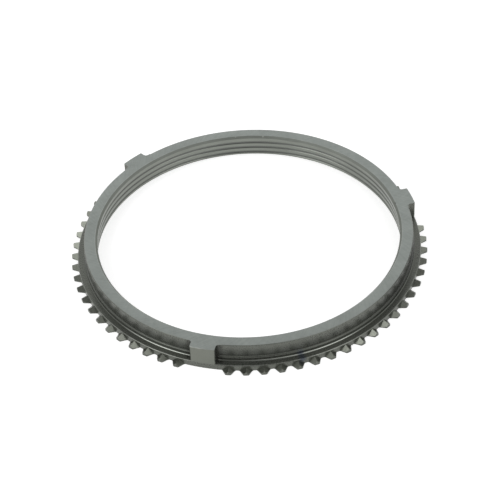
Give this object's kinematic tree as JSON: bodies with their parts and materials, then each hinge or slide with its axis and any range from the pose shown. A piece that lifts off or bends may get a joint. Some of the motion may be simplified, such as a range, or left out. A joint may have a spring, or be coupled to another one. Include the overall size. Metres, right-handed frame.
{
  "type": "synchronizer ring",
  "caption": "Flat steel gearbox synchronizer ring with a grooved friction cone inside, square driving lugs outside and pointed locking teeth round its rim.",
  "frame": {"origin": "centre of the flat gear-side face that the ring lies on", "axes": "+Z along the ring's axis, from the gear side up to the hub side; a driving lug lies at an azimuth of fifteen degrees from +X"},
  "size_m": [0.16, 0.16, 0.0112],
  "materials": {
    "machined_steel": "dull dark grey hardened steel with fine machining marks"
  },
  "bodies": {
    "root": {"synchronizer_ring": "machined_steel"}
  },
  "joints": []
}
